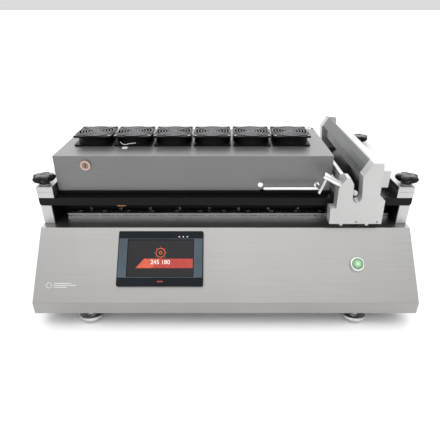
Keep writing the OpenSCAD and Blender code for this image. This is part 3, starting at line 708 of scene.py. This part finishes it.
def starKnob(node, material):
    # a domed five-lobe head over a round hub; the lobes come from swelling a turned blank
    low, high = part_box(node)
    side = -1 if low.x < 0 else 1
    reach = knob["reach"]
    centreX = side * (max(abs(low.x), abs(high.x)) - reach * knob["outer"])
    centreY = low.y + (high.y - low.y) * knob["behind"]
    top = high.z
    base = top - knob["height"]
    h = knob["height"]
    steps = [(low.z - base, knob["hub"] * 0.96), (low.z - base + 0.001, knob["hub"]), (-0.0004, knob["hub"]),
        (0, knob["hub"] * 1.12), (h * 0.05, reach * 0.72), (h * 0.16, reach * 0.84), (h * 0.34, reach * 0.95),
        (h * 0.5, reach), (h * 0.66, reach), (h * 0.78, reach * 0.97), (h * 0.88, reach * 0.89),
        (h * 0.95, reach * 0.76), (h * 0.99, reach * 0.58), (h, reach * 0.4), (h, reach * 0.25)]
    head = turned("knob", steps, 120)
    for vertex in head.data.vertices:
        radius = math.hypot(vertex.co.x, vertex.co.y)
        if radius < knob["hub"] * 1.01:
            continue
        angle = math.atan2(vertex.co.y, vertex.co.x)
        lobe = 0.5 + 0.5 * math.cos(knob["lobes"] * (angle - math.pi / 2))
        share = (radius - knob["hub"]) / (reach - knob["hub"])
        pinch = 1 - (1 - knob["valley"] / reach) * (1 - lobe ** 0.62) * max(0, min(1, share * 1.3))
        vertex.co.x *= pinch
        vertex.co.y *= pinch
    selectFaces(head, lambda face: face.normal.z > 0.99 and face.center.z > h * 0.99 and
        math.hypot(face.center.x, face.center.y) < reach * 0.05)
    bpy.ops.mesh.inset(thickness=0.6 * mm)
    bpy.ops.mesh.extrude_region_move(TRANSFORM_OT_translate={"value": (0, 0, -0.8 * mm)})
    editDone()
    smooth(head, 32)
    freeze(head, Matrix.Translation((centreX, centreY, base)))
    head.name = node.replace("_", "") + "Star"
    return finish(head, bodyOf[node], "knob_black", material, node)


for place in ("front_left", "front_right", "rear_left", "rear_right"):
    starKnob("knob_" + place, knobBlack)
print("table, rails and knobs made")


refined("hood_shell", 1.9 * mm, hoodSteel, segments=3)
refined("hood_seal", 1.5 * mm, sealRubber, segments=2)
refined("hood_lock", 0.7 * mm, lockCopper, segments=3)
refined("lock_cylinder", 0.4 * mm, lockCore, segments=2)
refined("hinge_leaves_table", 0.3 * mm, zincBright, segments=1)
refined("hinge_leaves_hood", 0.3 * mm, zincBright, segments=1)

handle = {"rod": 3.5 * mm, "bend": 10 * mm, "reach": 45 * mm, "rose": 6.5 * mm, "nut": 6 * mm}


def hoodHandle():
    # a ring of points drawn out along one leg, round both bends and back along the other leg
    low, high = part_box("hood_handle")
    rod, bend, reach = handle["rod"], handle["bend"], handle["reach"]
    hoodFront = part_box("hood_shell")[0].y
    z = (low.z + high.z) / 2
    left, right = low.x + handle["rose"], high.x - handle["rose"]
    barY = hoodFront - reach
    deselectAll()
    bpy.ops.mesh.primitive_circle_add(vertices=24, radius=rod, fill_type="NOTHING",
        location=(left, hoodFront, z), rotation=(math.radians(90), 0, 0))
    bar = freeze(bpy.context.object)
    bpy.ops.object.mode_set(mode="EDIT")
    bpy.ops.mesh.select_all(action="SELECT")
    bpy.ops.mesh.extrude_region_move(TRANSFORM_OT_translate={"value": (0, -(reach - bend), 0)})
    bpy.ops.mesh.spin(steps=12, angle=math.radians(90), center=(left + bend, barY + bend, z), axis=(0, 0, 1))
    bpy.ops.mesh.extrude_region_move(TRANSFORM_OT_translate={"value": (right - left - 2 * bend, 0, 0)})
    bpy.ops.mesh.spin(steps=12, angle=math.radians(90), center=(right - bend, barY + bend, z), axis=(0, 0, 1))
    bpy.ops.mesh.extrude_region_move(TRANSFORM_OT_translate={"value": (0, reach - bend, 0)})
    editDone(recalc=True)
    made = [smooth(bar, 40)]
    for x in (left, right):
        rose = turned("rose", [(0, handle["rose"]), (1.2 * mm, handle["rose"]), (1.9 * mm, 6 * mm),
            (2 * mm, 4.6 * mm)], 40, alongY(x, hoodFront, z))
        made.append(smooth(rose, 40))
        nut = turned("nut", [(0, 5.5 * mm), (0.4 * mm, handle["nut"]), (2.6 * mm, handle["nut"]),
            (3 * mm, 5.5 * mm)], 6, towardsBack(x, hoodFront + 2 * mm, z))
        made.append(nut)
    piece = joined(made, "hoodHandle")
    finish(piece, "hood", "handle_chrome", handleChrome, "hood_handle")


hoodHandle()

fan = {"size": 92 * mm, "pitch": 97.8 * mm, "depth": 25 * mm, "wire": 0.9 * mm, "rings": 6,
    "firstRing": 8 * mm, "ringStep": 7 * mm, "eyeInset": 5 * mm, "blades": 7, "hub": 18 * mm}
fanLow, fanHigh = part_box("fan_frames")
fanY = (fanLow.y + fanHigh.y) / 2
fanXs = [(fanLow.x + fanHigh.x) / 2 + (i - 2.5) * fan["pitch"] for i in range(6)]
refined("fan_frames", 0.5 * mm, fanBlack, segments=2)


def fanGuard():
    # concentric rings on two crossed stays that end in screw eyes
    made = []
    top = fan["depth"] + 2 * fan["wire"]
    for i in range(fan["rings"]):
        deselectAll()
        bpy.ops.mesh.primitive_torus_add(major_radius=fan["firstRing"] + i * fan["ringStep"],
            minor_radius=fan["wire"], major_segments=56, minor_segments=8, location=(0, 0, top - fan["wire"]))
        made.append(freeze(bpy.context.object))
    eye = fan["size"] / 2 - fan["eyeInset"]
    span = eye * math.sqrt(2)
    for turn in (45, 135):
        for side in (-1, 1):
            deselectAll()
            bpy.ops.mesh.primitive_cylinder_add(vertices=10, radius=fan["wire"] * 0.92, depth=span,
                location=(side * span / 2, 0, fan["depth"] + fan["wire"]), rotation=(0, math.radians(90), 0))
            stay = freeze(bpy.context.object)
            made.append(freeze(stay, Matrix.Rotation(math.radians(turn), 4, "Z")))
    for x in (-eye, eye):
        for y in (-eye, eye):
            deselectAll()
            bpy.ops.mesh.primitive_torus_add(major_radius=2.8 * mm, minor_radius=fan["wire"] * 0.9,
                major_segments=20, minor_segments=8, location=(x, y, fan["depth"] + fan["wire"]))
            made.append(freeze(bpy.context.object))
    return smooth(joined(made, "guard"), 60)


def fanScrews():
    # bright screw heads inside the four eyes
    eye = fan["size"] / 2 - fan["eyeInset"]
    made = []
    for x in (-eye, eye):
        for y in (-eye, eye):
            made.append(smooth(turned("screw", [(0, 2.2 * mm), (0.9 * mm, 2.2 * mm), (1.5 * mm, 1.6 * mm),
                (1.7 * mm, 0.7 * mm)], 20, Matrix.Translation((x, y, fan["depth"])))))
    return joined(made, "screws")


def fanRotor():
    # a domed hub with seven swept blades
    hub = fan["hub"]
    made = [smooth(turned("hub", [(5 * mm, hub * 0.97), (5.6 * mm, hub), (21.6 * mm, hub),
        (22.6 * mm, hub * 0.96), (23 * mm, hub * 0.88), (23 * mm, hub * 0.8),
        (22.8 * mm, hub * 0.74)], 56), 35)]
    deselectAll()
    bpy.ops.mesh.primitive_grid_add(x_subdivisions=10, y_subdivisions=8, size=1)
    blade = freeze(bpy.context.object)
    inner, outer = hub * 0.96, 40.3 * mm
    for vertex in blade.data.vertices:
        along, across = vertex.co.x + 0.5, vertex.co.y
        radius = inner + (outer - inner) * along
        angle = across * (0.74 - 0.16 * along) + 0.34 * along * along
        lift = across * (11.5 * mm - 4.2 * mm * along) + 1.2 * mm * (0.25 - across * across)
        vertex.co = (radius * math.cos(angle), radius * math.sin(angle), 14 * mm + lift)
    solid = blade.modifiers.new("solid", "SOLIDIFY")
    solid.thickness = 1.3 * mm
    solid.offset = 0
    applyAll(blade)
    bevelEdges(blade, 0.3 * mm, 2, 50)
    smooth(blade, 50)
    for i in range(1, fan["blades"]):
        made.append(copied(blade, "blade", Matrix.Rotation(2 * math.pi * i / fan["blades"], 4, "Z")))
    made.append(blade)
    return joined(made, "rotor")


def placeFans():
    guard, screws, rotor = fanGuard(), fanScrews(), fanRotor()
    for i, x in enumerate(fanXs):
        place = Matrix.Translation((x, fanY, fanLow.z))
        number = i + 1
        wire = copied(guard, "fanGuard%d" % number, place)
        finish(wire, "hood", "guard_wire", wireBright, *(["fan_guards"] if i == 0 else []))
        heads = copied(screws, "fanScrews%d" % number, place)
        finish(heads, "hood", "guard_wire", zincBright)
        turn = Matrix.Rotation(math.radians(11 * i), 4, "Z")
        wheel = copied(rotor, "fanWheel%d" % number, place @ turn)
        finish(wheel, "fan_%d" % number, "fan_black", rotorBlack, "fan_rotor_%d" % number)
    for spare in (guard, screws, rotor):
        bpy.data.objects.remove(spare)


placeFans()

leads = {"radius": 0.9 * mm, "tag": (13 * mm, 14 * mm, 0.8 * mm), "tagX": -251 * mm, "tagY": -62 * mm}


def lead(name, points, radius, material, body="hood", slot="fan_black"):
    # a thin cable bent through a list of points
    curve = bpy.data.curves.new(name, "CURVE")
    curve.dimensions = "3D"
    curve.bevel_depth = radius
    curve.bevel_resolution = 3
    path = curve.splines.new("NURBS")
    path.points.add(len(points) - 1)
    for point, place in zip(path.points, points):
        point.co = (*place, 1)
    path.use_endpoint_u = True
    path.order_u = 3
    obj = bpy.data.objects.new(name, curve)
    bpy.context.scene.collection.objects.link(obj)
    activate(obj)
    bpy.ops.object.convert(target="MESH")
    smooth(bpy.context.object, 60)
    return finish(bpy.context.object, body, slot, material)


def fanLeads():
    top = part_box("hood_shell")[1].z
    r = leads["radius"]
    x, y = leads["tagX"], leads["tagY"]
    wide, deep, thick = leads["tag"]
    tag = block("cableTag", (x, y, top + 0.1 * mm), (x + wide, y + deep, top + 0.1 * mm + thick), 0.2 * mm)
    finish(tag, "hood", "fan_black", labelWhite)
    front = fanLow.y
    lead("fanLeadPale", [(x - 6 * mm, front - 1.5 * mm, top + 12 * mm),
        (x - 2 * mm, front - 3 * mm, top + 7 * mm), (x + 6 * mm, front - 4 * mm, top + 5 * mm),
        (x + 16 * mm, front - 3 * mm, top + 8 * mm), (x + 32 * mm, front - 2 * mm, top + 9 * mm)],
        r, labelWhite)
    lead("fanLeadDark", [(x + 4 * mm, front - 3 * mm, top + 6 * mm),
        (x + 5 * mm, front - 8 * mm, top + 3 * mm), (x + wide / 2, y + deep, top + 1.2 * mm)], r, cableBlack)
    right, back = fanHigh.x, fanHigh.y
    lead("fanLeadRear", [(right - 12 * mm, back + 1 * mm, top + 14 * mm),
        (right - 2 * mm, back + 8 * mm, top + 20 * mm), (right + 8 * mm, back + 10 * mm, top + 13 * mm),
        (right + 12 * mm, back + 14 * mm, top + 4 * mm), (right + 14 * mm, back + 22 * mm, top + 1.2 * mm)],
        r, cableBlack)


fanLeads()
print("hood and fans made")


refined("carriage_front_plate", 0.9 * mm, whiteAluminium)
refined("carriage_rear_plate", 0.9 * mm, whiteAluminium)
refined("cross_plate", 0.8 * mm, crossSteel)
refined("carriage_beam", 0.8 * mm, whiteAluminium)
refined("carriage_rib", 0.8 * mm, whiteAluminium)
refined("front_rail_block", 0.8 * mm, whiteAluminium)
refined("rear_rail_block", 0.8 * mm, whiteAluminium)
refined("carriage_screws", 0.4 * mm, zincBright, segments=2)
refined("clamp_nut", 0.4 * mm, nutCopper, segments=2)
refined("clamp_lever", 0.5 * mm, handleChrome, segments=2)

coil = {"radius": 5.4 * mm, "wire": 0.8 * mm, "turns": 4, "turnSteps": 16, "start": 35 * mm, "end": 45 * mm}


def clampCoil():
    # a spring round the tip of the clamp screw, inside the notch
    axis = next(joint for joint in frame["record"]["behaviour"]["joints"] if joint["name"] == "clamp_swing")
    along = -Vector(axis["axis"]).normalized()
    place = Matrix.Translation(Vector(axis["pos_m"])) @ along.to_track_quat("Z", "Y").to_matrix().to_4x4()
    steps = coil["turns"] * coil["turnSteps"]
    points = []
    for i in range(steps + 1):
        angle = 2 * math.pi * i / coil["turnSteps"]
        height = coil["start"] + (coil["end"] - coil["start"]) * i / steps
        across, up = coil["radius"] * math.cos(angle), coil["radius"] * math.sin(angle)
        points.append(place @ Vector((across, up, height)))
    lead("clampCoil", points, coil["wire"], handleChrome, "clamp", "handle_chrome")


clampCoil()
print("carriage made")


studio = {"floorTone": (0.93, 0.93, 0.93), "world": 2.1, "horizon": 0.34, "middle": 0.46,
    "topPower": 60, "backPower": 90}


def makeFloor():
    deselectAll()
    bpy.ops.mesh.primitive_plane_add(size=80, location=(0, 20, -0.0004))
    floor = freeze(bpy.context.object)
    floor.name = "floor"
    material, nodes, links, shader = plainMaterial("floorPale", studio["floorTone"], 0.6)
    soft = grainNoise(nodes, links, (2, 2, 2), 2.0, 0.5)
    tones = ramp(nodes, links, soft, [(0.3, shade(studio["floorTone"], 0.99)), (0.7, studio["floorTone"])])
    links.new(tones, shader.inputs["Base Color"])
    floor.data.materials.append(material)


def addArea(name, location, target, size, power):
    light = bpy.data.lights.new(name, "AREA")
    light.shape = "RECTANGLE"
    light.size, light.size_y = size
    light.energy = power
    obj = bpy.data.objects.new(name, light)
    bpy.context.scene.collection.objects.link(obj)
    obj.location = location
    obj.rotation_euler = (Vector(target) - Vector(location)).to_track_quat("-Z", "Y").to_euler()


def makeStudio():
    world = bpy.data.worlds.new("studio")
    bpy.context.scene.world = world
    bpy.context.scene.view_settings.view_transform = "Standard"
    world.use_nodes = True
    nodes, links = world.node_tree.nodes, world.node_tree.links
    # a soft dome, brighter overhead than along the horizon
    place = nodes.new("ShaderNodeTexCoord")
    parts = nodes.new("ShaderNodeSeparateXYZ")
    links.new(place.outputs["Generated"], parts.inputs["Vector"])
    tones = ramp(nodes, links, parts.outputs["Z"], [(0.25, shade((1, 1, 1), studio["horizon"])),
        (0.6, shade((1, 1, 1), studio["middle"])), (1.0, (1, 1, 1))])
    links.new(tones, nodes["Background"].inputs["Color"])
    nodes["Background"].inputs["Strength"].default_value = studio["world"]
    addArea("topLight", (0, -0.4, 4.0), (0, -0.2, 0), (9.0, 9.0), studio["topPower"])
    addArea("backLight", (0, 4.2, 2.6), (0, 0, 0.3), (7.0, 2.4), studio["backPower"])


def makeCamera():
    view = {"place": (-0.013, -1.0076, 0.668), "tilt": 62.0, "lens": 33.14}
    camera = bpy.data.cameras.new("camera")
    camera.lens = view["lens"]
    camera.sensor_width = 36
    camera.clip_start = 0.01
    obj = bpy.data.objects.new("camera", camera)
    bpy.context.scene.collection.objects.link(obj)
    obj.location = view["place"]
    obj.rotation_euler = (math.radians(view["tilt"]), 0, 0)
    bpy.context.scene.camera = obj


makeFloor()
makeStudio()
makeCamera()
print("floor, light and camera set")
